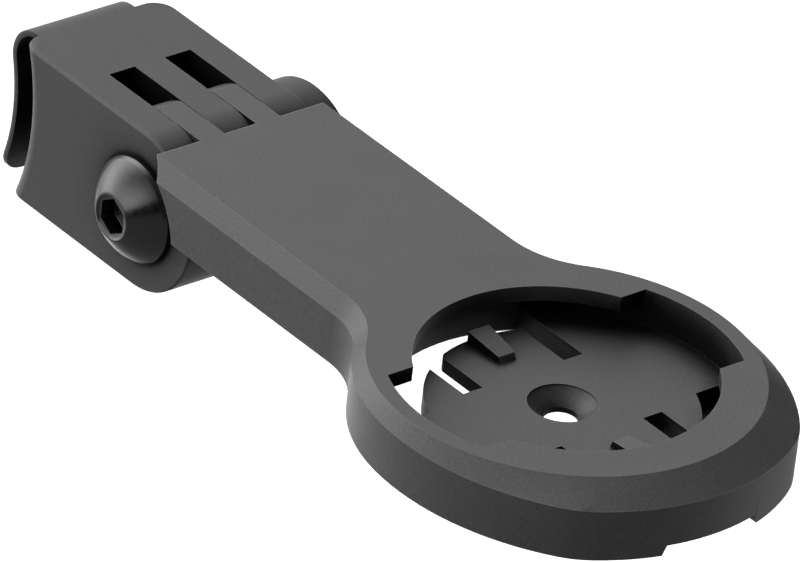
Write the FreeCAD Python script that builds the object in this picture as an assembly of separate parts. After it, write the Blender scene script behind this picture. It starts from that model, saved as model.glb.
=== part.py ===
import FreeCAD, Part
import math
import os

# Out-front mount for a quarter-turn bike computer, in millimetres.
# The origin is on the cup's axis at the flat top face. X points forward,
# from the handlebar to the cup, and Z points up.

# Cup for the computer
LIP_INNER_RADIUS = 13.15
TAB_GROOVE_RADIUS = 15.6
LIP_THICKNESS = 1.45
LIP_END_X = 6.6
CUP_DEPTH = 3.5

# Cup floor, its windows and its two spring catches
FLOOR_THICKNESS = 1.88
FLOOR_DISC_RADIUS = 11.85
BRIDGE_HALF_WIDTH = 4.45
BRIDGE_RIB_END_X = 6.3
BRIDGE_RIB_HEIGHT = 0.95
CATCH_HALF_WIDTH = 4.45
CATCH_THICKNESS = 1.3
CATCH_TIP_RADIUS = 11.9
CATCH_CORNER_RADIUS = 0.9
CATCH_ROOT_X = 5.3
SLOT_OUTER_Y = 6.55
BUMP_START_X = 7.35
BUMP_SLOPE_LENGTH = 0.3
BUMP_END_X = 11.55
BUMP_START_HALF_WIDTH = 0.85
BUMP_END_HALF_WIDTH = 1.15
BUMP_START_HEIGHT = 0.65
BUMP_END_HEIGHT = 1.2
CENTRE_HOLE_RADIUS = 1.5
COUNTERSINK_RADIUS = 3.05
COUNTERSINK_DEPTH = 1.25
COUNTERSINK_RIM_DEPTH = 0.12
WINDOW_EDGE_CHAMFER = 0.3

# Plate of the arm and the ring, one moulding
PLATE_THICKNESS = 6.1
EDGE_CHAMFER_DEPTH = 1.33
EDGE_CHAMFER_WIDTH = 1.45
RING_RADIUS = 18.15
TOP_LAND_INSET = 1.05
FRONT_REACH = 2.35
SIDE_ARC_START_DEG = 98.0
FRONT_JOIN_DEG = 36.0
FRONT_CORNER_RADIUS = 9.0
ARM_HALF_WIDTH = 10.65
LOWER_FLARE_RADIUS = 7.75
UPPER_FLARE_RADIUS = 9.0
FRONT_NOTCH_HALF_WIDTH = 5.15
FRONT_NOTCH_SLOPE = 0.38
FRONT_NOTCH_HEIGHT = 0.95
FRONT_NOTCH_START_X = 16.5

# Hinge between the base block and the arm
HINGE_X = -48.55
BLOCK_HEIGHT = 15.3
ROOT_CLEARANCE = 0.73
ARM_FINGER_BACK_REACH = 0.52
MIDDLE_FINGER_HALF_WIDTH = 1.64
SLOT_OUTER_EDGE_Y = 4.5
FINGER_SIDE_CLEARANCE = 0.1
FINGER_OVERLAP_INTO_ARM = 2.0

# Base block with its back seat and its hook plate, one moulding
BLOCK_HALF_WIDTH = 7.9
SLOT_END_X = -58.2
BACK_MIDDLE_X = -65.35
BACK_RADIUS = 20.5
HOOK_MIDDLE_X = -69.3
HOOK_MIDDLE_Z = -8.7
HOOK_RADIUS = 17.5
HOOK_THICKNESS = 0.55
HOOK_BEND_RADIUS = 3.1
HOOK_HALF_WIDTH = 5.3
HOOK_MIDDLE_Y = -0.55
HOOK_DEPTH = 16.1
HOOK_CORNER_RADIUS = 2.6
BACK_CORNER_RADIUS = 2.1
BLOCK_EDGE_CHAMFER = 0.2

# Pivot screw with a button head, and its round nut
SCREW_RADIUS = 2.5
PIVOT_CLEARANCE = 0.06
HEAD_RADIUS = 4.92
HEAD_HEIGHT = 2.9
HEAD_RIM = 0.55
HEAD_FACE_RADIUS = 2.2
DOME_RISE_SHARE = 0.62
HEX_ACROSS_FLATS = 3.1
HEX_DEPTH = 1.7
SOCKET_BEVEL = 0.3
NUT_RADIUS = 7.25
NUT_THICKNESS = 3.3
NUT_EDGE_CHAMFER = 0.35
THREAD_CLEARANCE = 0.02
SCREW_TIP_RECESS = 0.5
SCREW_TIP_CHAMFER = 0.5

# Allowance that lets a cutting body run past the face that it cuts
CUT_MARGIN = 1.0

# How near an edge must be to an axis or to a plane to count as along it
ALONG_AXIS_SHARE = 0.99
SAME_PLANE = 0.001

# A hexagon socket has six sides, the first corner turned from the X axis
HEX_SIDES = 6
HEX_FIRST_CORNER_DEG = 30.0

# Places worked out from the sizes above
FRONT_RADIUS = RING_RADIUS + FRONT_REACH
TOP_LAND_RADIUS = RING_RADIUS - TOP_LAND_INSET
HINGE_Z = -BLOCK_HEIGHT / 2
FINGER_RADIUS = BLOCK_HEIGHT / 2
ROOT_RADIUS = FINGER_RADIUS + ROOT_CLEARANCE
ARM_FINGER_BACK_RADIUS = FINGER_RADIUS + ARM_FINGER_BACK_REACH
BORE_RADIUS = SCREW_RADIUS + PIVOT_CLEARANCE
FLOOR_TOP_Z = -CUP_DEPTH
FLOOR_UNDER_Z = -CUP_DEPTH - FLOOR_THICKNESS
BACK_AXIS_X = BACK_MIDDLE_X - BACK_RADIUS
HOOK_AXIS_X = HOOK_MIDDLE_X - HOOK_RADIUS
UP = FreeCAD.Vector(0, 0, 1)
ACROSS = FreeCAD.Vector(0, 1, 0)


def vec(x, y, z):
    return FreeCAD.Vector(x, y, z)


def on_circle(centre, radius, degrees):
    angle = math.radians(degrees)
    return (centre[0] + radius * math.cos(angle), centre[1] + radius * math.sin(angle))


def bearing(centre, point):
    return math.degrees(math.atan2(point[1] - centre[1], point[0] - centre[0]))


def toward(centre, point, distance):
    """Point at a distance from centre on the line through a second point."""
    reach = math.hypot(point[0] - centre[0], point[1] - centre[1])
    share = distance / reach
    return (
        centre[0] + share * (point[0] - centre[0]),
        centre[1] + share * (point[1] - centre[1]),
    )


def circles_meet(centre_a, radius_a, centre_b, radius_b):
    """The crossing of two circles that has the larger second coordinate."""
    dx = centre_b[0] - centre_a[0]
    dy = centre_b[1] - centre_a[1]
    gap = math.hypot(dx, dy)
    along = (radius_a**2 - radius_b**2 + gap**2) / (2 * gap)
    side = math.sqrt(radius_a**2 - along**2)
    foot = (centre_a[0] + along * dx / gap, centre_a[1] + along * dy / gap)
    first = (foot[0] - side * dy / gap, foot[1] + side * dx / gap)
    second = (foot[0] + side * dy / gap, foot[1] - side * dx / gap)
    return max(first, second, key=lambda point: point[1])


def plan(z):
    """Placement of an outline point in a level plane."""
    return lambda point: vec(point[0], point[1], z)


def section(y):
    """Placement of an outline point in an upright plane along the arm."""
    return lambda point: vec(point[0], y, point[1])


def line_edge(place, start, end):
    return Part.LineSegment(place(start), place(end)).toShape()


def arc_edge(place, centre, radius, start_deg, end_deg):
    middle = (start_deg + end_deg) / 2
    points = [place(on_circle(centre, radius, deg)) for deg in (start_deg, middle, end_deg)]
    return Part.Arc(*points).toShape()


def extrude(edges, direction):
    return Part.Face(Part.Wire(edges)).extrude(direction)


def cylinder(radius, height, base, direction=UP):
    return Part.makeCylinder(radius, height, base, direction)


def box(x_range, y_range, z_range):
    size = [high - low for low, high in (x_range, y_range, z_range)]
    return Part.makeBox(*size, vec(x_range[0], y_range[0], z_range[0]))


def edges_where(shape, test):
    return [edge for edge in shape.Edges if test(edge)]


def mirrored(point):
    return (point[0], -point[1])


# Arm and ring


def side_arc_radius():
    """Radius of the arc that leaves the ring and meets the front circle at its join."""
    turn = math.radians(SIDE_ARC_START_DEG - FRONT_JOIN_DEG)
    fall = RING_RADIUS - FRONT_RADIUS * math.cos(turn)
    return RING_RADIUS + (FRONT_RADIUS**2 - RING_RADIUS**2) / (2 * fall)


def plate_corners_low():
    """Named corners of the plate's outline below the chamfer, far half."""
    origin = (0, 0)
    flare_y = ARM_HALF_WIDTH + LOWER_FLARE_RADIUS
    reach = RING_RADIUS + LOWER_FLARE_RADIUS
    flare = (-math.sqrt(reach**2 - flare_y**2), flare_y)
    side_start = on_circle(origin, RING_RADIUS, SIDE_ARC_START_DEG)
    side_radius = side_arc_radius()
    side = toward(side_start, origin, side_radius)
    corner = circles_meet(
        side,
        side_radius - FRONT_CORNER_RADIUS,
        origin,
        FRONT_RADIUS - FRONT_CORNER_RADIUS,
    )
    return {
        "root": (HINGE_X, ARM_HALF_WIDTH),
        "flare_start": (flare[0], ARM_HALF_WIDTH),
        "flare_end": toward(origin, flare, RING_RADIUS),
        "side": side_start,
        "corner_start": toward(side, corner, side_radius),
        "corner_end": toward(origin, corner, FRONT_RADIUS),
        "flare_centre": flare,
        "ring_centre": origin,
        "side_centre": side,
        "corner_centre": corner,
    }


def plate_corners_top(low):
    """Corners of the flat top's outline, matched to the lower outline."""
    half_width = ARM_HALF_WIDTH - EDGE_CHAMFER_WIDTH
    flare_y = half_width + UPPER_FLARE_RADIUS
    reach = TOP_LAND_RADIUS + UPPER_FLARE_RADIUS
    flare = (-math.sqrt(reach**2 - flare_y**2), flare_y)
    origin = (0, 0)
    corners = {
        "root": (HINGE_X, half_width),
        "flare_start": (flare[0], half_width),
        "flare_end": toward(origin, flare, TOP_LAND_RADIUS),
        "flare_centre": flare,
    }
    for name in ("side", "corner_start", "corner_end"):
        corners[name] = toward(origin, low[name], TOP_LAND_RADIUS)
    return corners


def arc_between(place, centre, start, end, sign):
    """Arc about a centre from one point to another, in the half given by sign."""
    radius = math.hypot(start[0] - centre[0], start[1] - centre[1])
    flip = (centre[0], sign * centre[1])
    first = (start[0], sign * start[1])
    last = (end[0], sign * end[1])
    return arc_edge(place, flip, radius, bearing(flip, first), bearing(flip, last))


def outline_wire(place, corners, centres):
    """Closed outline from the near root round the ring to the far root."""
    names = ["flare_start", "flare_end", "side", "corner_start", "corner_end"]
    near = []
    far = []
    for start, end, centre in zip(names, names[1:], centres):
        near.append(arc_between(place, centre, corners[start], corners[end], -1))
        far.append(arc_between(place, centre, corners[end], corners[start], 1))
    front_deg = bearing((0, 0), corners["corner_end"])
    front_radius = math.hypot(*corners["corner_end"])
    edges = [line_edge(place, mirrored(corners["root"]), mirrored(corners["flare_start"]))]
    edges += near
    edges.append(arc_edge(place, (0, 0), front_radius, -front_deg, front_deg))
    edges += reversed(far)
    edges.append(line_edge(place, corners["flare_start"], corners["root"]))
    edges.append(line_edge(place, corners["root"], mirrored(corners["root"])))
    return Part.Wire(edges)


def plate_blank():
    low = plate_corners_low()
    top = plate_corners_top(low)
    low_centres = [low[name + "_centre"] for name in ("flare", "ring", "side", "corner")]
    top_centres = [top["flare_centre"], (0, 0), (0, 0), (0, 0)]
    low_wire = outline_wire(plan(-EDGE_CHAMFER_DEPTH), low, low_centres)
    top_wire = outline_wire(plan(0), top, top_centres)
    wall_height = PLATE_THICKNESS - EDGE_CHAMFER_DEPTH
    wall = Part.Face(low_wire).extrude(vec(0, 0, -wall_height))
    chamfer = Part.makeLoft([low_wire, top_wire], True, True)
    return wall.fuse(chamfer).removeSplitter()


def cup_hollow():
    """Space inside the ring above the floor, with the lips left standing."""
    groove_height = CUP_DEPTH - LIP_THICKNESS
    groove = cylinder(TAB_GROOVE_RADIUS, groove_height, vec(0, 0, FLOOR_TOP_Z))
    mouth_height = LIP_THICKNESS + CUT_MARGIN
    mouth = cylinder(LIP_INNER_RADIUS, mouth_height, vec(0, 0, -LIP_THICKNESS))
    entry = cylinder(TAB_GROOVE_RADIUS, mouth_height, vec(0, 0, -LIP_THICKNESS))
    span = TAB_GROOVE_RADIUS + CUT_MARGIN
    gate = box((-LIP_END_X, LIP_END_X), (-span, span), (-LIP_THICKNESS, CUT_MARGIN))
    return groove.fuse([mouth, entry.common(gate)])


def floor_window():
    """Opening through the floor at the rear, round the free end of one catch."""
    depth = PLATE_THICKNESS - CUP_DEPTH + CUT_MARGIN
    base = vec(0, 0, -PLATE_THICKNESS - CUT_MARGIN)
    span = TAB_GROOVE_RADIUS + CUT_MARGIN
    z_range = (base.z, FLOOR_TOP_Z)
    outer = cylinder(TAB_GROOVE_RADIUS, depth, base)
    crescent = outer.cut(cylinder(FLOOR_DISC_RADIUS, depth, base))
    reach = box((-span, -BRIDGE_HALF_WIDTH), (-span, SLOT_OUTER_Y), z_range)
    opening = crescent.common(reach)
    rib = box(
        (-BRIDGE_RIB_END_X, -BRIDGE_HALF_WIDTH),
        (-span, -SLOT_OUTER_Y),
        (base.z, BRIDGE_RIB_HEIGHT - PLATE_THICKNESS),
    )
    slots = box((-span, -CATCH_ROOT_X), (-SLOT_OUTER_Y, SLOT_OUTER_Y), z_range)
    lead = Part.makeCone(
        TAB_GROOVE_RADIUS + WINDOW_EDGE_CHAMFER,
        TAB_GROOVE_RADIUS,
        WINDOW_EDGE_CHAMFER,
        vec(0, 0, -PLATE_THICKNESS),
    )
    lead = lead.common(reach).cut(cylinder(FLOOR_DISC_RADIUS, depth, base))
    return opening.fuse([slots.common(outer), lead]).cut(rib)


def floor_catch():
    """Springy tongue of the floor with a ramped bump near its free end."""
    tip = cylinder(CATCH_TIP_RADIUS, CATCH_THICKNESS, vec(0, 0, FLOOR_TOP_Z - CATCH_THICKNESS))
    root_x = -CATCH_ROOT_X + CUT_MARGIN
    reach = (-CATCH_TIP_RADIUS - CUT_MARGIN, root_x)
    width = (-CATCH_HALF_WIDTH, CATCH_HALF_WIDTH)
    height = (FLOOR_TOP_Z - CATCH_THICKNESS, FLOOR_TOP_Z)
    tongue = box(reach, width, height).common(tip)
    free_corners = edges_where(
        tongue,
        lambda edge: edge.Vertexes[0].X < -CATCH_ROOT_X and abs(edge.tangentAt(0).z) > ALONG_AXIS_SHARE,
    )
    tongue = tongue.makeFillet(CATCH_CORNER_RADIUS, free_corners)
    return tongue.fuse(catch_bump())


def catch_bump():
    """Wedge that widens and rises toward the catch's free end."""
    low = FLOOR_TOP_Z - CATCH_THICKNESS / 2
    slope_top_x = -BUMP_START_X - BUMP_SLOPE_LENGTH
    side_view = [
        vec(-BUMP_START_X, -SLOT_OUTER_Y, low),
        vec(-BUMP_START_X, -SLOT_OUTER_Y, FLOOR_TOP_Z),
        vec(slope_top_x, -SLOT_OUTER_Y, FLOOR_TOP_Z + BUMP_START_HEIGHT),
        vec(-BUMP_END_X, -SLOT_OUTER_Y, FLOOR_TOP_Z + BUMP_END_HEIGHT),
        vec(-BUMP_END_X, -SLOT_OUTER_Y, low),
    ]
    top_view = [
        vec(-BUMP_START_X, -BUMP_START_HALF_WIDTH, low),
        vec(-BUMP_START_X, BUMP_START_HALF_WIDTH, low),
        vec(-BUMP_END_X, BUMP_END_HALF_WIDTH, low),
        vec(-BUMP_END_X, -BUMP_END_HALF_WIDTH, low),
    ]
    ramp = Part.Face(Part.makePolygon(side_view + side_view[:1]))
    wedge = Part.Face(Part.makePolygon(top_view + top_view[:1]))
    return ramp.extrude(vec(0, 2 * SLOT_OUTER_Y, 0)).common(wedge.extrude(vec(0, 0, CUP_DEPTH)))


def centre_hole():
    hole = cylinder(
        CENTRE_HOLE_RADIUS,
        FLOOR_THICKNESS + 2 * CUT_MARGIN,
        vec(0, 0, FLOOR_UNDER_Z - CUT_MARGIN),
    )
    rim_z = FLOOR_TOP_Z - COUNTERSINK_RIM_DEPTH
    rim = cylinder(COUNTERSINK_RADIUS, COUNTERSINK_RIM_DEPTH, vec(0, 0, rim_z))
    sink = Part.makeCone(
        CENTRE_HOLE_RADIUS,
        COUNTERSINK_RADIUS,
        COUNTERSINK_DEPTH,
        vec(0, 0, rim_z - COUNTERSINK_DEPTH),
    )
    return hole.fuse([sink, rim])


def underside_recess():
    """Shallow round recess that thins the floor from below."""
    depth = PLATE_THICKNESS + FLOOR_UNDER_Z + CUT_MARGIN
    return cylinder(FLOOR_DISC_RADIUS, depth, vec(0, 0, -PLATE_THICKNESS - CUT_MARGIN))


def front_notch():
    """Shallow notch with sloping ends in the lower edge at the front."""
    top_z = -PLATE_THICKNESS + FRONT_NOTCH_HEIGHT
    low_z = -PLATE_THICKNESS - CUT_MARGIN
    low_y = FRONT_NOTCH_HALF_WIDTH + CUT_MARGIN * FRONT_NOTCH_SLOPE / FRONT_NOTCH_HEIGHT
    top_y = FRONT_NOTCH_HALF_WIDTH - FRONT_NOTCH_SLOPE
    corners = [
        vec(FRONT_NOTCH_START_X, -low_y, low_z),
        vec(FRONT_NOTCH_START_X, low_y, low_z),
        vec(FRONT_NOTCH_START_X, top_y, top_z),
        vec(FRONT_NOTCH_START_X, -top_y, top_z),
    ]
    return Part.Face(Part.makePolygon(corners + corners[:1])).extrude(vec(FRONT_RADIUS, 0, 0))


def turned_half(shape):
    """The same shape on the other side of the cup, half a turn round its axis."""
    copy = shape.copy()
    copy.rotate(vec(0, 0, 0), UP, 180)
    return copy


def arm_finger(y_low, y_high):
    """Hinge finger of the arm, flat on top, round behind and below the pivot."""
    place = section(y_low)
    pivot = (HINGE_X, HINGE_Z)
    flat_half = math.sqrt(ARM_FINGER_BACK_RADIUS**2 - HINGE_Z**2)
    flat_deg = bearing(pivot, (HINGE_X - flat_half, 0))
    under_x = HINGE_X + math.sqrt(FINGER_RADIUS**2 - (HINGE_Z + PLATE_THICKNESS) ** 2)
    under_deg = bearing(pivot, (under_x, -PLATE_THICKNESS))
    end_x = HINGE_X + ROOT_RADIUS + FINGER_OVERLAP_INTO_ARM
    back = place((HINGE_X - ARM_FINGER_BACK_RADIUS, HINGE_Z))
    bottom = place((HINGE_X, HINGE_Z - FINGER_RADIUS))
    oval = Part.Ellipse(back, bottom, place(pivot))
    edges = [
        line_edge(place, (HINGE_X - flat_half, 0), (end_x, 0)),
        line_edge(place, (end_x, 0), (end_x, -PLATE_THICKNESS)),
        line_edge(place, (end_x, -PLATE_THICKNESS), (under_x, -PLATE_THICKNESS)),
        arc_edge(place, pivot, FINGER_RADIUS, under_deg, -90),
        Part.ArcOfEllipse(oval, 0, math.pi / 2).toShape(),
        arc_edge(place, pivot, ARM_FINGER_BACK_RADIUS, 180, flat_deg),
    ]
    finger = extrude(Part.sortEdges(edges)[0], vec(0, y_high - y_low, 0))
    bore = cylinder(BORE_RADIUS, y_high - y_low, vec(HINGE_X, y_low, HINGE_Z), ACROSS)
    return finger.cut(bore)


def mount_arm():
    body = plate_blank()
    width = 2 * (ARM_HALF_WIDTH + CUT_MARGIN)
    root = vec(HINGE_X, -width / 2, HINGE_Z)
    body = body.cut(cylinder(ROOT_RADIUS, width, root, ACROSS))
    window = floor_window()
    body = body.cut([cup_hollow(), underside_recess(), window, turned_half(window)])
    body = body.cut(front_notch())
    catch = floor_catch()
    inner = MIDDLE_FINGER_HALF_WIDTH + FINGER_SIDE_CLEARANCE
    outer = SLOT_OUTER_EDGE_Y - FINGER_SIDE_CLEARANCE
    fingers = [arm_finger(-outer, -inner), arm_finger(inner, outer)]
    body = body.fuse([catch, turned_half(catch)] + fingers).cut(centre_hole())
    return body.removeSplitter()


# Base block


def hook_plate():
    """Thin plate that leaves the block's top, bends down and hugs the bar."""
    place = section(HOOK_MIDDLE_Y - HOOK_HALF_WIDTH)
    seat = (HOOK_AXIS_X, HOOK_MIDDLE_Z)
    reach = HOOK_RADIUS + HOOK_BEND_RADIUS
    bend_z = -HOOK_BEND_RADIUS
    bend = (HOOK_AXIS_X + math.sqrt(reach**2 - (bend_z - HOOK_MIDDLE_Z) ** 2), bend_z)
    turn_deg = bearing(seat, bend)
    end_deg = -math.degrees(math.asin((HOOK_DEPTH + HOOK_MIDDLE_Z) / HOOK_RADIUS))
    inner_seat = HOOK_RADIUS + HOOK_THICKNESS
    inner_bend = HOOK_BEND_RADIUS - HOOK_THICKNESS
    root_x = BACK_MIDDLE_X
    outer_end = on_circle(seat, HOOK_RADIUS, end_deg)
    inner_end = on_circle(seat, inner_seat, end_deg)
    edges = [
        line_edge(place, (root_x, 0), (bend[0], 0)),
        arc_edge(place, bend, HOOK_BEND_RADIUS, 90, 180 + turn_deg),
        arc_edge(place, seat, HOOK_RADIUS, turn_deg, end_deg),
        line_edge(place, outer_end, inner_end),
        arc_edge(place, seat, inner_seat, end_deg, turn_deg),
        arc_edge(place, bend, inner_bend, 180 + turn_deg, 90),
        line_edge(place, (bend[0], -HOOK_THICKNESS), (root_x, -HOOK_THICKNESS)),
        line_edge(place, (root_x, -HOOK_THICKNESS), (root_x, 0)),
    ]
    sheet = extrude(edges, vec(0, 2 * HOOK_HALF_WIDTH, 0))
    return sheet.common(hook_front_view())


def hook_front_view():
    """Upright block whose lower corners round off the hook plate's end."""
    blank = box(
        (HOOK_AXIS_X, HINGE_X),
        (HOOK_MIDDLE_Y - HOOK_HALF_WIDTH, HOOK_MIDDLE_Y + HOOK_HALF_WIDTH),
        (-HOOK_DEPTH, CUT_MARGIN),
    )
    low = edges_where(
        blank,
        lambda edge: abs(edge.tangentAt(0).x) > ALONG_AXIS_SHARE and edge.Vertexes[0].Z < -CUT_MARGIN,
    )
    return blank.makeFillet(HOOK_CORNER_RADIUS, low)


def block_blank():
    """Block with a round nose about the pivot and a hollow back."""
    place = section(-BLOCK_HALF_WIDTH)
    back = (BACK_AXIS_X, HINGE_Z)
    pivot = (HINGE_X, HINGE_Z)
    edge_deg = math.degrees(math.asin(FINGER_RADIUS / BACK_RADIUS))
    back_x = on_circle(back, BACK_RADIUS, edge_deg)[0]
    edges = [
        line_edge(place, (back_x, 0), (HINGE_X, 0)),
        arc_edge(place, pivot, FINGER_RADIUS, 90, -90),
        line_edge(place, (HINGE_X, -BLOCK_HEIGHT), (back_x, -BLOCK_HEIGHT)),
        arc_edge(place, back, BACK_RADIUS, -edge_deg, edge_deg),
    ]
    blank = extrude(edges, vec(0, 2 * BLOCK_HALF_WIDTH, 0))
    blank = blank.makeFillet(BACK_CORNER_RADIUS, edges_where(blank, is_back_upright))
    rims = edges_where(blank, lambda edge: not is_back_upright(edge) and not is_nose_seam(edge))
    return blank.makeChamfer(BLOCK_EDGE_CHAMFER, rims)


def is_back_upright(edge):
    """True for an edge that runs up the block's back from bottom to top."""
    bounds = edge.BoundBox
    return bounds.ZLength > FINGER_RADIUS and bounds.XMax < SLOT_END_X


def is_nose_seam(edge):
    """True for the line across the block where the flat meets the nose."""
    bounds = edge.BoundBox
    return bounds.XMin > SLOT_END_X and bounds.YLength > BLOCK_HALF_WIDTH


def base_block():
    body = block_blank().fuse(hook_plate())
    span = FINGER_RADIUS + CUT_MARGIN
    reach = (SLOT_END_X, HINGE_X + span)
    height = (-BLOCK_HEIGHT - CUT_MARGIN, CUT_MARGIN)
    slot = box(reach, (MIDDLE_FINGER_HALF_WIDTH, SLOT_OUTER_EDGE_Y), height)
    width = 2 * (BLOCK_HALF_WIDTH + CUT_MARGIN)
    bore = cylinder(BORE_RADIUS, width, vec(HINGE_X, -width / 2, HINGE_Z), ACROSS)
    other_slot = slot.mirror(vec(0, 0, 0), ACROSS)
    return body.cut([slot, other_slot, bore]).removeSplitter()


# Pivot


def pivot_screw():
    """Button head screw turned about the pivot axis, head on the near side."""
    near_y = -BLOCK_HALF_WIDTH
    tip_y = BLOCK_HALF_WIDTH + NUT_THICKNESS - SCREW_TIP_RECESS
    rim_y = near_y - HEAD_RIM
    face_y = near_y - HEAD_HEIGHT
    dome_x = (HEAD_RADIUS + HEAD_FACE_RADIUS) / 2
    middle = vec(dome_x, rim_y - DOME_RISE_SHARE * (HEAD_HEIGHT - HEAD_RIM), 0)
    profile = [
        Part.makePolygon([vec(0, face_y, 0), vec(HEAD_FACE_RADIUS, face_y, 0)]),
        Part.Arc(vec(HEAD_FACE_RADIUS, face_y, 0), middle, vec(HEAD_RADIUS, rim_y, 0)).toShape(),
        Part.makePolygon(
            [
                vec(HEAD_RADIUS, rim_y, 0),
                vec(HEAD_RADIUS, near_y, 0),
                vec(SCREW_RADIUS, near_y, 0),
                vec(SCREW_RADIUS, tip_y - SCREW_TIP_CHAMFER, 0),
                vec(SCREW_RADIUS - SCREW_TIP_CHAMFER, tip_y, 0),
                vec(0, tip_y, 0),
                vec(0, face_y, 0),
            ]
        ),
    ]
    edges = [edge for piece in profile for edge in piece.Edges]
    turned = Part.Face(Part.Wire(edges)).revolve(vec(0, 0, 0), ACROSS, 360)
    solid = turned.cut(hex_socket(face_y))
    solid.translate(vec(HINGE_X, 0, HINGE_Z))
    return solid


def hex_socket(face_y):
    corner_radius = HEX_ACROSS_FLATS / math.sqrt(3)
    corners = []
    for step in range(HEX_SIDES):
        angle = HEX_FIRST_CORNER_DEG + step * 360 / HEX_SIDES
        x, z = on_circle((0, 0), corner_radius, angle)
        corners.append(vec(x, face_y, z))
    outline = Part.makePolygon(corners + corners[:1])
    prism = Part.Face(outline).extrude(vec(0, HEX_DEPTH, 0))
    bevel = Part.makeCone(
        corner_radius + SOCKET_BEVEL,
        corner_radius,
        SOCKET_BEVEL,
        vec(0, face_y, 0),
        ACROSS,
    )
    return prism.fuse(bevel)


def pivot_nut():
    """Round nut on the far side, level with the round end of the block."""
    base = vec(HINGE_X, BLOCK_HALF_WIDTH, HINGE_Z)
    nut = cylinder(NUT_RADIUS, NUT_THICKNESS, base, ACROSS)
    nut = nut.cut(cylinder(SCREW_RADIUS + THREAD_CLEARANCE, NUT_THICKNESS, base, ACROSS))
    rims = edges_where(
        nut,
        lambda edge: edge.BoundBox.ZLength > NUT_RADIUS and edge.BoundBox.YLength < SAME_PLANE,
    )
    return nut.makeChamfer(NUT_EDGE_CHAMFER, rims)


PIECES = {
    "base_block": base_block,
    "mount_arm": mount_arm,
    "pivot_screw": pivot_screw,
    "pivot_nut": pivot_nut,
}


def main():
    os.makedirs("parts", exist_ok=True)
    for node, make in PIECES.items():
        shape = make()
        shape.exportStep("parts/" + node + ".step")
        print(node, "solids", len(shape.Solids), "valid", shape.isValid(), "volume", round(shape.Volume, 1))


main()
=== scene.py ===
import math

import bmesh
import bpy
from bpy.props import FloatProperty, FloatVectorProperty, PointerProperty
from bpy.types import Operator, Panel, PropertyGroup
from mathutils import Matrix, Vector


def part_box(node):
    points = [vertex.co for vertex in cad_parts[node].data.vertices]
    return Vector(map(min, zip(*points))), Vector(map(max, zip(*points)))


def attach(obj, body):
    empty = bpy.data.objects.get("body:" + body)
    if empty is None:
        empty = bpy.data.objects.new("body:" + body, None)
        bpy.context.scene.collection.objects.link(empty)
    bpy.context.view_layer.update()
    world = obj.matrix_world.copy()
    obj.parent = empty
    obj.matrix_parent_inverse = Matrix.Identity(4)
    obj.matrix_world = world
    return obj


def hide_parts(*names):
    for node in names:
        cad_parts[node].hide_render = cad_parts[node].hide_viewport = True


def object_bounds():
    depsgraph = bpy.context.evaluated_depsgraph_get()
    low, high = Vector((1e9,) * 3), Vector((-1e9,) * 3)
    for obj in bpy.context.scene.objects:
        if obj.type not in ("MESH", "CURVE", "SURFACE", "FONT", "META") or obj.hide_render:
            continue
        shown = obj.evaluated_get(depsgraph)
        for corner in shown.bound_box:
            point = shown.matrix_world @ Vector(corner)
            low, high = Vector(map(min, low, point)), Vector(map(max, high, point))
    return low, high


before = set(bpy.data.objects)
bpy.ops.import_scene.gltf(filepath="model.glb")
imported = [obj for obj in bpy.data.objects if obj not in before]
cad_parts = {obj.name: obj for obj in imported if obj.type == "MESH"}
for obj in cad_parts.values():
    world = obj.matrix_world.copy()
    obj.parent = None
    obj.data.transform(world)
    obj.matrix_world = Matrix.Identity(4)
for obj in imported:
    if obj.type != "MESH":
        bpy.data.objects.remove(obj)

bl_info = {
    "name": "Bike Computer Mount",
    "version": (1, 0, 0),
    "blender": (4, 5, 0),
    "location": "View3D > Sidebar > Mount",
    "description": "Moulded computer mount with its tilting arm, pivot screw and nut",
    "category": "Object",
}

CAD_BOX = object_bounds()

# Places on the pivot, from the boxes of the CAD nodes
SCREW_LOW, SCREW_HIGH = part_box("pivot_screw")
HEAD_RADIUS = (SCREW_HIGH[2] - SCREW_LOW[2]) / 2
PIVOT_X = (SCREW_HIGH[0] + SCREW_LOW[0]) / 2
PIVOT_Z = (SCREW_HIGH[2] + SCREW_LOW[2]) / 2
HEAD_FACE_Y = SCREW_LOW[1]
SCREW_TIP_Y = SCREW_HIGH[1]
NEAR_SIDE_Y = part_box("base_block")[0][1]
NUT_INNER_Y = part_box("pivot_nut")[0][1]

# Shape of the screw
SCREW_SEGMENTS = 96
SCREW_SHARP_DEG = 28
HEX_SIDE_TURN = math.pi / 3
SOCKET_FLOOR_SHARE = 0.96
DOME_RISE = 0.62
DOME_STEPS = 18
RIM_FIRST_DEG = -48
RIM_STEPS = 4
THREAD_STEPS = 8
THREAD_CREST_SHARE = 1.15

# Rounding of the moulded edges
WELD_DISTANCE = 0.000001
SHARP_EDGE_DEG = 15
EDGE_SEGMENTS = 2
FACE_WEIGHT = 50

# Cosine between a flat face and the rounded edge, from no painted highlight to a full one
EDGE_TURN = (1.0, 0.8)
EDGE_SAMPLES = 6

# Openness that counts as a dark recess and as an open face, and the painted shade they get
RECESS_SAMPLES = 8
PAINTED_RECESS_SHADES = (0.12, 1.0)
LEVEL_OPENNESS = (0.52, 0.88)
UPRIGHT_OPENNESS = (0.76, 0.985)
UPRIGHT_REACH_SHARE = 1.25
STEEL_OPENNESS = (0.45, 0.62)

# Vertical part of a face's direction, on a wall and on a level face
LEVEL_TILT = (0.1, 0.5)

# Unevenness of the finishes, painted highlights and painted shade: sizes in metres, shades as
# shares of the colour
FULL_RANGE = (0.0, 1.0)
CLOUD_BAND = (0.3, 0.7)
GRAIN_BAND = (0.25, 0.75)
GRAIN_SHADES = (0.7, 1.3)
GRAIN_FINENESS = 0.6
SPECULAR_LEVEL = 0.5

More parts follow.
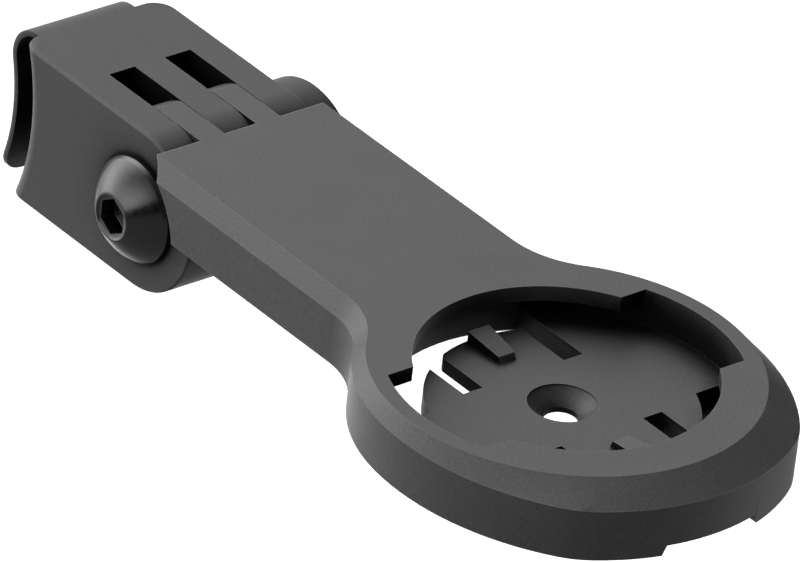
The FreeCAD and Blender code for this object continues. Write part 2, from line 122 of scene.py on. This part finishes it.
PLASTIC_IOR = 1.45
PLASTIC_CLOUD_SIZE = 0.006
PLASTIC_CLOUD_SHADES = (0.94, 1.06)
PLASTIC_PATCH_SIZE = 0.0035
PLASTIC_PATCH_SPREAD = (-0.012, 0.015)
# Painted highlight on the rounded edges of the plastic, as a share of its colour
PLASTIC_EDGE_HIGHLIGHT = 4
# Painted shade: the block gets a darker copy of the arm's plastic, with a weaker sheen
BLOCK_PAINTED_SHADE = 0.86
# The nut gets a darker copy of the moulded plastic, with a weaker sheen
NUT_SHADE = 0.7

STEEL_IOR = 1.6
STEEL_CLOUD_SIZE = 0.0012
STEEL_CLOUD_SHADES = (0.7, 1.0)
STEEL_PATCH_SIZE = 0.0006
STEEL_PATCH_SPREAD = (-0.04, 0.05)
# Painted highlight on the rounded edges of the steel, as a share of its colour
STEEL_EDGE_HIGHLIGHT = 28

# Soft lights of the room: name, bearing and height in degrees. The lights in the
# first row end at a slanting edge, and the table's glow starts at another below it.
LIGHT_FALL_OFF = 10.0
LIGHT_EDGE_TILT = (-0.653, -0.008, 0.758)
LIGHT_EDGE = (-0.01, 0.05)
TABLE_EDGE_TILT = (-0.373, -0.125, 0.92)
TABLE_EDGE = (0.0, -0.08)
LIGHTS = (
    ("key_light", 205, 5),
    ("back_light", 183, 53),
    ("far_light", 165, 30),
    ("near_light", 243, 10),
    ("side_light", 275, 20),
)
OPEN_LIGHTS = (
    ("front_light", 66, -12),
    ("far_glow", 150, -30),
)

FLOOR_RADIUS = 6
FLOOR_SIDES = 128
FLOOR_ROUGHNESS = 0.9

CAMERA_PLACE = (0.559809, -0.521623, 0.463244)
CAMERA_TURN_DEG = (58.997, -5.6548, 51.5207)
CAMERA_LENS_MM = 477.7124
CAMERA_SENSOR_MM = 36
CAMERA_CLIP_START = 0.01


def tint(name, description, default):
    """Colour picker for one finish."""
    return FloatVectorProperty(
        name=name,
        description=description,
        default=default,
        subtype="COLOR",
        min=0.0,
        max=1.0,
    )


def dullness(description, default):
    """Slider for how rough one finish is."""
    return FloatProperty(
        name="Roughness",
        description=description,
        default=default,
        min=0.0,
        max=1.0,
        subtype="FACTOR",
    )


def length(name, description, default, low, high):
    """Slider for a size of the part, shown in the scene's length unit."""
    return FloatProperty(
        name=name,
        description=description,
        default=default,
        min=low,
        max=high,
        precision=6,
        subtype="DISTANCE",
        unit="LENGTH",
    )


def strength(name, description, default):
    """Slider for how bright one light of the stage is."""
    return FloatProperty(
        name=name,
        description=description,
        default=default,
        min=0.0,
        max=20.0,
    )


class PlasticFinish(PropertyGroup):
    """Colour and surface of the moulded parts"""

    colour: tint("Plastic colour", "Colour of the moulded plastic", (0.045, 0.0455, 0.046))
    roughness: dullness("How matte the moulded skin is", 0.45)
    grain_size: length(
        "Grain size", "Width of one grain of the moulded texture", 0.00022, 0.00005, 0.002
    )
    grain_depth: length("Grain depth", "Height of the moulded texture", 0.000017, 0.0, 0.0002)
    # The recess reach sets how far from nearby walls the painted shade reaches.
    recess_reach: length(
        "Recess reach", "How near walls must be for a recess to look dark", 0.0042, 0.0005, 0.02
    )
    edge_radius: length(
        "Edge radius", "How far the moulded edges are rounded", 0.0001, 0.0, 0.0005
    )


class ScrewFinish(PropertyGroup):
    """Sizes and surface of the pivot screw"""

    steel_colour: tint("Steel colour", "Colour of the blackened steel", (0.006, 0.006, 0.0059))
    roughness: dullness("How dull the blackened steel is", 0.2)
    socket_width: length("Socket width", "Hex socket across its flats", 0.0031, 0.001, 0.005)
    socket_depth: length("Socket depth", "Depth of the hex socket", 0.0017, 0.0005, 0.0025)
    socket_bevel: length("Socket bevel", "Lead-in round the hex socket", 0.0003, 0.0, 0.0006)
    face_radius: length("Face radius", "Radius where the dome begins", 0.0022, 0.001, 0.004)
    rim_height: length("Rim height", "Straight rim below the dome", 0.00055, 0.0002, 0.001)
    rim_round: length("Rim rounding", "Rounding of the rim's edges", 0.00012, 0.0, 0.0003)
    shank_radius: length("Shank radius", "Radius of the plain shank", 0.0025, 0.001, 0.003)
    thread_pitch: length("Thread pitch", "From one turn to the next", 0.0008, 0.0003, 0.002)
    thread_depth: length("Thread depth", "How deep the thread is cut", 0.0004, 0.0, 0.0008)
    thread_run: length("Thread run", "Length of thread inside the block", 0.0022, 0.0, 0.01)
    tip_bevel: length("Tip bevel", "Bevel at the end of the thread", 0.0005, 0.0, 0.001)


class StudioSetup(PropertyGroup):
    """Floor and light of the stage"""

    floor_colour: tint("Floor colour", "Colour of the pale floor", (0.93, 0.93, 0.93))
    floor_glow: strength("Floor glow", "Light that shines up through the floor", 0.35)
    floor_drop: length("Floor drop", "Distance from the mount to the floor", 0.08, 0.0, 1.0)
    key_light: strength("Key light", "Low, wide light at the left", 3.45)
    back_light: strength("Back light", "High light behind the block", 4.3)
    far_light: strength("Far light", "Light from behind on the far side", 2.3)
    front_light: strength("Front light", "Weak light in front of the cup", 1.0)
    near_light: strength("Near light", "Low light at the near side", 1.7)
    side_light: strength("Side light", "Higher light at the near side", 2.5)
    far_glow: strength("Far glow", "Light off the table behind the mount", 1.6)
    table_glow: strength("Table glow", "Light that comes up off the table", 0.3)
    room_light: strength("Room light", "Even light from all round", 0.015)


def new_material(name):
    """Material with an empty shader that is joined to its output."""
    material = bpy.data.materials.new(name)
    material.use_nodes = True
    tree = material.node_tree
    tree.nodes.clear()
    output = tree.nodes.new("ShaderNodeOutputMaterial")
    shader = tree.nodes.new("ShaderNodeBsdfPrincipled")
    tree.links.new(shader.outputs["BSDF"], output.inputs["Surface"])
    return material, tree, shader


def feed(tree, value, socket):
    """Joins a socket to another one, or sets it to a number or a colour."""
    if isinstance(value, bpy.types.NodeSocket):
        tree.links.new(value, socket)
    else:
        socket.default_value = value


def calculate(tree, operation, *values):
    """Result of one sum on its values, each a socket or a number."""
    node = tree.nodes.new("ShaderNodeMath")
    node.operation = operation
    for value, socket in zip(values, node.inputs):
        feed(tree, value, socket)
    return node.outputs["Value"]


def dot_product(tree, first, second):
    """How far two directions agree, each a socket or three numbers."""
    node = tree.nodes.new("ShaderNodeVectorMath")
    node.operation = "DOT_PRODUCT"
    feed(tree, first, node.inputs[0])
    feed(tree, second, node.inputs[1])
    return node.outputs["Value"]


def remap(tree, value, band, result):
    """Stretches a band of values to the resulting range and stops at its ends."""
    node = tree.nodes.new("ShaderNodeMapRange")
    node.inputs["From Min"].default_value, node.inputs["From Max"].default_value = band
    node.inputs["To Min"].default_value, node.inputs["To Max"].default_value = result
    tree.links.new(value, node.inputs["Value"])
    return node.outputs["Result"]


def noise(tree, size, detail=3.0, fineness=0.5):
    """Cloudy pattern whose clouds are about as wide as the size."""
    place = tree.nodes.new("ShaderNodeTexCoord")
    texture = tree.nodes.new("ShaderNodeTexNoise")
    texture.inputs["Scale"].default_value = 1 / size
    texture.inputs["Detail"].default_value = detail
    texture.inputs["Roughness"].default_value = fineness
    tree.links.new(place.outputs["Object"], texture.inputs["Vector"])
    return texture.outputs["Fac"]


def shaded(colour, shade):
    """The colour made darker or lighter, as a node wants it."""
    return (*(value * shade for value in colour), 1.0)


def mix_colour(tree, factor, first, second):
    """Goes from the first colour to the second, each a socket or four numbers."""
    node = tree.nodes.new("ShaderNodeMix")
    node.data_type = "RGBA"
    tree.links.new(factor, node.inputs["Factor"])
    feed(tree, first, node.inputs["A"])
    feed(tree, second, node.inputs["B"])
    return node.outputs["Result"]


def scale_colour(tree, colour, factor):
    """Multiplies a colour by a factor that varies over the surface."""
    node = tree.nodes.new("ShaderNodeVectorMath")
    node.operation = "SCALE"
    tree.links.new(colour, node.inputs[0])
    tree.links.new(factor, node.inputs["Scale"])
    return node.outputs["Vector"]


def edge_highlight_mask(tree, radius):
    """White where a rounded edge turns the surface away from its flat, which places the painted
    highlight.
    """
    bevel = tree.nodes.new("ShaderNodeBevel")
    bevel.samples = EDGE_SAMPLES
    bevel.inputs["Radius"].default_value = radius
    flat = tree.nodes.new("ShaderNodeNewGeometry")
    turn = dot_product(tree, bevel.outputs["Normal"], flat.outputs["Normal"])
    return remap(tree, turn, EDGE_TURN, FULL_RANGE)


def painted_recess_shade_mask(tree, reach, openness, alone=True):
    """Painted shade: one on open faces, falling to nearly nothing deep in slots and corners."""
    shelter = tree.nodes.new("ShaderNodeAmbientOcclusion")
    shelter.samples = RECESS_SAMPLES
    shelter.only_local = alone
    shelter.inputs["Distance"].default_value = reach
    return remap(tree, shelter.outputs["AO"], openness, PAINTED_RECESS_SHADES)


def level_mask(tree):
    """One on level and sloping faces, zero on upright walls."""
    place = tree.nodes.new("ShaderNodeTexCoord")
    split = tree.nodes.new("ShaderNodeSeparateXYZ")
    tree.links.new(place.outputs["Normal"], split.inputs["Vector"])
    level = calculate(tree, "ABSOLUTE", split.outputs["Z"])
    return remap(tree, level, LEVEL_TILT, FULL_RANGE)


def painted_shade_mask(tree, reach, alone):
    """Painted shade for recesses, darkening upright walls sooner than level faces."""
    level = painted_recess_shade_mask(tree, reach, LEVEL_OPENNESS, alone)
    upright = painted_recess_shade_mask(tree, UPRIGHT_REACH_SHARE * reach, UPRIGHT_OPENNESS, alone)
    blend = tree.nodes.new("ShaderNodeMix")
    tree.links.new(level_mask(tree), blend.inputs["Factor"])
    tree.links.new(upright, blend.inputs["A"])
    tree.links.new(level, blend.inputs["B"])
    return blend.outputs["Result"]


def cloudy_colour(tree, colour, size, shades):
    """The colour, a little darker and lighter in soft clouds."""
    cloud = remap(tree, noise(tree, size), CLOUD_BAND, FULL_RANGE)
    darker, lighter = (shaded(colour, shade) for shade in shades)
    return mix_colour(tree, cloud, darker, lighter)


def colour_surface(tree, shader, colour, painted_shade_factor, specular):
    """Gives the shader its colour and specular level, both darkened by painted shade in
    recesses.
    """
    tree.links.new(scale_colour(tree, colour, painted_shade_factor), shader.inputs["Base Color"])
    level = calculate(tree, "MULTIPLY", painted_shade_factor, specular)
    tree.links.new(level, shader.inputs["Specular IOR Level"])


def roughen_surface(tree, shader, patches, roughness, spread):
    """Gives the shader a roughness that wanders a little in patches."""
    ends = [roughness + step for step in spread]
    tree.links.new(remap(tree, patches, CLOUD_BAND, ends), shader.inputs["Roughness"])


def moulded_plastic(name, finish, shade=1.0, alone=True):
    """Dark plastic with a fine spark-eroded grain, a painted highlight on its edges and painted
    shade in its recesses.
    """
    material, tree, shader = new_material(name)
    base = tuple(value * shade for value in finish.colour)
    body = cloudy_colour(tree, base, PLASTIC_CLOUD_SIZE, PLASTIC_CLOUD_SHADES)
    grain = noise(tree, finish.grain_size, fineness=GRAIN_FINENESS)
    body = scale_colour(tree, body, remap(tree, grain, GRAIN_BAND, GRAIN_SHADES))
    # Painted highlight: the rounded edges are made several times paler than the plastic.
    edge = edge_highlight_mask(tree, finish.edge_radius)
    colour = mix_colour(tree, edge, body, shaded(base, PLASTIC_EDGE_HIGHLIGHT))
    # Painted shade: colour and specular level are darkened in slots, corners and recesses.
    painted_shade_factor = painted_shade_mask(tree, finish.recess_reach, alone)
    colour_surface(tree, shader, colour, painted_shade_factor, SPECULAR_LEVEL * shade)
    patches = noise(tree, PLASTIC_PATCH_SIZE)
    roughen_surface(tree, shader, patches, finish.roughness, PLASTIC_PATCH_SPREAD)
    shader.inputs["IOR"].default_value = PLASTIC_IOR
    bump = tree.nodes.new("ShaderNodeBump")
    bump.inputs["Strength"].default_value = 1.0
    bump.inputs["Distance"].default_value = finish.grain_depth
    tree.links.new(grain, bump.inputs["Height"])
    tree.links.new(bump.outputs["Normal"], shader.inputs["Normal"])
    return material


def blackened_steel(name, finish):
    """Steel under a smooth black film, a little uneven, with a painted highlight on its edges
    and painted shade in its hollows.
    """
    material, tree, shader = new_material(name)
    base = tuple(finish.steel_colour)
    film = cloudy_colour(tree, base, STEEL_CLOUD_SIZE, STEEL_CLOUD_SHADES)
    # Painted highlight: the rounded rim edges are made many times paler than the film.
    edge = edge_highlight_mask(tree, finish.rim_round)
    colour = mix_colour(tree, edge, film, shaded(base, STEEL_EDGE_HIGHLIGHT))
    # Painted shade: colour and specular level are darkened in the hex socket and other hollows.
    painted_shade_factor = painted_recess_shade_mask(tree, finish.shank_radius, STEEL_OPENNESS)
    colour_surface(tree, shader, colour, painted_shade_factor, SPECULAR_LEVEL)
    patches = noise(tree, STEEL_PATCH_SIZE, detail=2.0)
    roughen_surface(tree, shader, patches, finish.roughness, STEEL_PATCH_SPREAD)
    shader.inputs["IOR"].default_value = STEEL_IOR
    return material


def use_material(piece, material):
    """Makes this the piece's only material."""
    piece.data.materials.clear()
    piece.data.materials.append(material)


def soften_edges(piece, radius):
    """Rounds the sharp edges of a moulded piece and evens its shading."""
    weld = piece.modifiers.new("joined corners", "WELD")
    weld.merge_threshold = WELD_DISTANCE
    bevel = piece.modifiers.new("rounded edges", "BEVEL")
    bevel.width = radius
    bevel.segments = EDGE_SEGMENTS
    bevel.limit_method = "ANGLE"
    bevel.angle_limit = math.radians(SHARP_EDGE_DEG)
    bevel.use_clamp_overlap = True
    bevel.loop_slide = False
    bevel.harden_normals = False
    even = piece.modifiers.new("even shading", "WEIGHTED_NORMAL")
    even.weight = FACE_WEIGHT
    even.keep_sharp = False


def finish_moulding(name, finish, material):
    """Gives a piece of the frame its material and its softened edges."""
    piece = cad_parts[name]
    use_material(piece, material)
    soften_edges(piece, finish.edge_radius)


class MOUNT_OT_finish_arm(Operator):
    """Gives the arm with its computer cup the moulded finish"""

    bl_idname = "mount.finish_arm"
    bl_label = "Arm and Computer Cup"

    def execute(self, context):
        finish = context.scene.mount_plastic
        finish_moulding("mount_arm", finish, moulded_plastic("arm plastic", finish))
        return {"FINISHED"}


class MOUNT_OT_finish_block(Operator):
    """Gives the bar block with its hook plate the moulded finish"""

    bl_idname = "mount.finish_block"
    bl_label = "Bar Block"

    def execute(self, context):
        finish = context.scene.mount_plastic
        # Painted shadow: the block's painted shade also counts the arm and the screw head, so
        # the block is darkened next to them.
        plastic = moulded_plastic("block plastic", finish, BLOCK_PAINTED_SHADE, alone=False)
        finish_moulding("base_block", finish, plastic)
        return {"FINISHED"}


class MOUNT_OT_finish_nut(Operator):
    """Gives the round pivot nut its finish"""

    bl_idname = "mount.finish_nut"
    bl_label = "Pivot Nut"

    def execute(self, context):
        finish = context.scene.mount_plastic
        finish_moulding("pivot_nut", finish, moulded_plastic("darker nut plastic", finish, NUT_SHADE))
        return {"FINISHED"}


def hexagon_reach(angle, width):
    """Distance from the centre of a hexagon to its side, along an angle."""
    turn = (angle + HEX_SIDE_TURN / 2) % HEX_SIDE_TURN - HEX_SIDE_TURN / 2
    return width / 2 / math.cos(turn)


def circle_through(first, middle, last):
    """Centre and radius of the circle through three points of a profile."""
    (ax, ay), (bx, by), (cx, cy) = first, middle, last
    turn = 2 * (ax * (by - cy) + bx * (cy - ay) + cx * (ay - by))
    a, b, c = ax**2 + ay**2, bx**2 + by**2, cx**2 + cy**2
    x = (a * (by - cy) + b * (cy - ay) + c * (ay - by)) / turn
    y = (a * (cx - bx) + b * (ax - cx) + c * (bx - ax)) / turn
    return (x, y), math.hypot(ax - x, ay - y)


def arc(centre, radius, start_deg, end_deg, steps):
    """Points of a round in a turned profile, each its reach and its Y."""
    for step in range(steps + 1):
        angle = math.radians(start_deg + (end_deg - start_deg) * step / steps)
        yield centre[0] + radius * math.cos(angle), centre[1] + radius * math.sin(angle)


class TurnedPiece:
    """Mesh built up from loops of points round the pivot axis."""

    def __init__(self, name, segments):
        self.name = name
        self.segments = segments
        self.build = bmesh.new()
        self.loops = []

    def loop(self, reach, y):
        """Adds a loop, whose reach is a number or a function of the angle."""
        points = []
        for step in range(self.segments):
            angle = 2 * math.pi * step / self.segments
            radius = reach(angle) if callable(reach) else reach
            x = PIVOT_X + radius * math.cos(angle)
            z = PIVOT_Z + radius * math.sin(angle)
            points.append(self.build.verts.new((x, y, z)))
        self.loops.append(points)

    def point(self, y):
        """Adds a single point on the axis, which closes one end."""
        self.loops.append([self.build.verts.new((PIVOT_X, y, PIVOT_Z))])

    def finish(self, sharp_deg):
        """Joins each loop to the next with faces and makes the object."""
        for first, second in zip(self.loops, self.loops[1:]):
            for step in range(self.segments):
                after = (step + 1) % self.segments
                if len(first) == 1:
                    corners = (first[0], second[after], second[step])
                elif len(second) == 1:
                    corners = (first[step], first[after], second[0])
                else:
                    corners = (first[step], first[after], second[after], second[step])
                face = self.build.faces.new(corners)
                face.smooth = True
        bmesh.ops.recalc_face_normals(self.build, faces=self.build.faces)
        mesh = bpy.data.meshes.new(self.name)
        self.build.to_mesh(mesh)
        self.build.free()
        mesh.set_sharp_from_angle(angle=math.radians(sharp_deg))
        piece = bpy.data.objects.new(self.name, mesh)
        bpy.context.collection.objects.link(piece)
        return piece


def screw_socket(screw, sizes):
    """Hex socket with a drilled bottom and a turned lead-in."""

    def hexagon(angle):
        return hexagon_reach(angle, sizes.socket_width)

    floor_y = HEAD_FACE_Y + sizes.socket_depth
    screw.point(floor_y + sizes.socket_bevel)
    screw.loop(lambda angle: hexagon(angle) * SOCKET_FLOOR_SHARE, floor_y)

    # The corners round the socket are a third as round as the rim.
    edge = sizes.rim_round / 3
    screw.loop(hexagon, floor_y - edge)
    lead_y = HEAD_FACE_Y + sizes.socket_bevel / 2
    screw.loop(hexagon, lead_y + edge)
    screw.loop(lambda angle: hexagon(angle) + edge / 2, lead_y)
    lead = sizes.socket_width / math.sqrt(3) + sizes.socket_bevel
    screw.loop(lead - 3 * edge, lead_y - edge)
    screw.loop(lead - edge / 4, HEAD_FACE_Y + edge)
    screw.loop(lead + edge / 2, HEAD_FACE_Y)


def screw_head(screw, sizes):
    """Low dome, rounded rim and flat underside of the button head."""
    rim_y = NEAR_SIDE_Y - sizes.rim_height
    start = (sizes.face_radius, HEAD_FACE_Y)
    end = (HEAD_RADIUS, rim_y)
    middle = ((start[0] + end[0]) / 2, rim_y - DOME_RISE * (rim_y - HEAD_FACE_Y))
    centre, radius = circle_through(start, middle, end)
    first = math.degrees(math.atan2(start[1] - centre[1], start[0] - centre[0]))
    last = math.degrees(math.atan2(end[1] - centre[1], end[0] - centre[0]))
    profile = list(arc(centre, radius, first, last, DOME_STEPS))[:-1]

    rounding = sizes.rim_round
    upper = (HEAD_RADIUS - rounding, rim_y + rounding)
    lower = (HEAD_RADIUS - rounding, NEAR_SIDE_Y - rounding)
    profile += arc(upper, rounding, RIM_FIRST_DEG, 0, RIM_STEPS)
    profile += arc(lower, rounding, 0, 90, RIM_STEPS)
    profile.append((sizes.shank_radius, NEAR_SIDE_Y))
    for reach, y in profile:
        screw.loop(reach, y)


def screw_thread(screw, sizes):
    """Plain shank, then thread as far as the bevelled tip."""
    pitch = sizes.thread_pitch
    crest = sizes.shank_radius
    start = NUT_INNER_Y - sizes.thread_run
    steps = math.ceil((SCREW_TIP_Y - start) / pitch * THREAD_STEPS)
    screw.loop(crest, start - pitch / THREAD_STEPS)
    for step in range(steps + 1):
        y = min(start + step * pitch / THREAD_STEPS, SCREW_TIP_Y)
        fade = min(1.0, step / THREAD_STEPS)
        limit = crest - max(0.0, y - (SCREW_TIP_Y - sizes.tip_bevel))

        def reach(angle, y=y, fade=fade, limit=limit):
            turn = ((y - start) / pitch - angle / (2 * math.pi)) % 1
            groove = max(0.0, 1 - abs(2 * turn - 1) * THREAD_CREST_SHARE)
            return min(crest - sizes.thread_depth * groove * fade, limit)

        screw.loop(reach, y)
    screw.loop(crest - sizes.tip_bevel - sizes.thread_depth, SCREW_TIP_Y)
    screw.point(SCREW_TIP_Y)


class MOUNT_OT_finish_screw(Operator):
    """Makes the button head screw with its hex socket and thread"""

    bl_idname = "mount.finish_screw"
    bl_label = "Pivot Screw"

    def execute(self, context):
        sizes = context.scene.mount_screw
        screw = TurnedPiece("button_screw", SCREW_SEGMENTS)
        screw_socket(screw, sizes)
        screw_head(screw, sizes)
        screw_thread(screw, sizes)
        piece = screw.finish(SCREW_SHARP_DEG)
        use_material(piece, blackened_steel("blackened steel", sizes))
        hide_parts("pivot_screw")
        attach(piece, "base")
        return {"FINISHED"}


def soft_light(tree, ray, bearing_deg, height_deg, power):
    """Brightness of one wide soft light in the room, by the way a ray goes."""
    bearing, height = math.radians(bearing_deg), math.radians(height_deg)
    level = math.cos(height)
    toward = (level * math.cos(bearing), level * math.sin(bearing), math.sin(height))
    value = calculate(tree, "MAXIMUM", dot_product(tree, ray, toward), 0.0)
    value = calculate(tree, "POWER", value, LIGHT_FALL_OFF)
    return calculate(tree, "MULTIPLY", value, power)


def add_lights(tree, ray, setup, total, lights):
    """Adds a row of soft lights to the brightness so far."""
    for name, bearing_deg, height_deg in lights:
        light = soft_light(tree, ray, bearing_deg, height_deg, getattr(setup, name))
        total = calculate(tree, "ADD", total, light)
    return total


def slanting_edge(tree, ray, tilt, edge):
    """Goes from zero to one across an edge that the tilt stands square to."""
    return remap(tree, dot_product(tree, ray, tilt), edge, FULL_RANGE)


def studio_room(setup):
    """World with soft lights that end at one edge and a glow that starts at another."""
    world = bpy.data.worlds.new("studio room")
    world.use_nodes = True
    tree = world.node_tree
    background = tree.nodes["Background"]
    background.inputs["Color"].default_value = (1, 1, 1, 1)
    ray = tree.nodes.new("ShaderNodeTexCoord").outputs["Generated"]
    total = add_lights(tree, ray, setup, setup.room_light, LIGHTS)
    above = slanting_edge(tree, ray, LIGHT_EDGE_TILT, LIGHT_EDGE)
    total = calculate(tree, "MULTIPLY", total, above)
    below = slanting_edge(tree, ray, TABLE_EDGE_TILT, TABLE_EDGE)
    glow = calculate(tree, "MULTIPLY", below, setup.table_glow)
    total = calculate(tree, "ADD", total, glow)
    total = add_lights(tree, ray, setup, total, OPEN_LIGHTS)
    tree.links.new(total, background.inputs["Strength"])
    return world


def pale_floor(setup):
    """Round floor below the mount, which only the camera sees."""
    mesh = bpy.data.meshes.new("floor")
    build = bmesh.new()
    bmesh.ops.create_circle(build, cap_ends=True, segments=FLOOR_SIDES, radius=FLOOR_RADIUS)
    build.to_mesh(mesh)
    build.free()
    floor = bpy.data.objects.new("floor", mesh)
    floor.location = (0, 0, CAD_BOX[0][2] - setup.floor_drop)
    bpy.context.collection.objects.link(floor)
    material, _, shader = new_material("pale floor")
    shader.inputs["Base Color"].default_value = (*setup.floor_colour, 1)
    shader.inputs["Roughness"].default_value = FLOOR_ROUGHNESS
    shader.inputs["Specular IOR Level"].default_value = 0.0
    shader.inputs["Emission Color"].default_value = (*setup.floor_colour, 1)
    shader.inputs["Emission Strength"].default_value = setup.floor_glow
    use_material(floor, material)
    floor.visible_diffuse = False
    floor.visible_glossy = False
    floor.visible_shadow = False
    return floor


def photo_camera():
    """Camera at the viewing angle of the photograph."""
    lens = bpy.data.cameras.new("camera")
    lens.lens = CAMERA_LENS_MM
    lens.sensor_width = CAMERA_SENSOR_MM
    lens.clip_start = CAMERA_CLIP_START
    camera = bpy.data.objects.new("camera", lens)
    camera.location = CAMERA_PLACE
    camera.rotation_euler = [math.radians(turn) for turn in CAMERA_TURN_DEG]
    bpy.context.collection.objects.link(camera)
    return camera


class MOUNT_OT_set_stage(Operator):
    """Makes the pale floor, the soft light and the camera"""

    bl_idname = "mount.set_stage"
    bl_label = "Stage"

    def execute(self, context):
        setup = context.scene.mount_studio
        floor = pale_floor(setup)
        context.scene.world = studio_room(setup)
        context.scene.camera = photo_camera()
        context.scene.view_settings.view_transform = "Standard"
        return {"FINISHED"}


STEPS = (
    MOUNT_OT_set_stage,
    MOUNT_OT_finish_arm,
    MOUNT_OT_finish_block,
    MOUNT_OT_finish_screw,
    MOUNT_OT_finish_nut,
)


class MOUNT_PT_parts(Panel):
    """Lists the steps that dress the mount, and their settings"""

    bl_label = "Bike Computer Mount"
    bl_idname = "MOUNT_PT_parts"
    bl_space_type = "VIEW_3D"
    bl_region_type = "UI"
    bl_category = "Mount"

    def draw(self, context):
        layout = self.layout
        scene = context.scene
        for step in STEPS:
            layout.operator(step.bl_idname)
        for settings in (scene.mount_plastic, scene.mount_screw, scene.mount_studio):
            box = layout.box()
            for name in settings.bl_rna.properties.keys():
                if name not in ("rna_type", "name"):
                    box.prop(settings, name)


CLASSES = (PlasticFinish, ScrewFinish, StudioSetup, *STEPS, MOUNT_PT_parts)


def register():
    for item in CLASSES:
        bpy.utils.register_class(item)
    bpy.types.Scene.mount_plastic = PointerProperty(type=PlasticFinish)
    bpy.types.Scene.mount_screw = PointerProperty(type=ScrewFinish)
    bpy.types.Scene.mount_studio = PointerProperty(type=StudioSetup)


def unregister():
    del bpy.types.Scene.mount_plastic
    del bpy.types.Scene.mount_screw
    del bpy.types.Scene.mount_studio
    for item in reversed(CLASSES):
        bpy.utils.unregister_class(item)


def main():
    register()
    bpy.ops.mount.set_stage()
    bpy.ops.mount.finish_arm()
    bpy.ops.mount.finish_block()
    bpy.ops.mount.finish_screw()
    bpy.ops.mount.finish_nut()


if __name__ == "__main__":
    main()
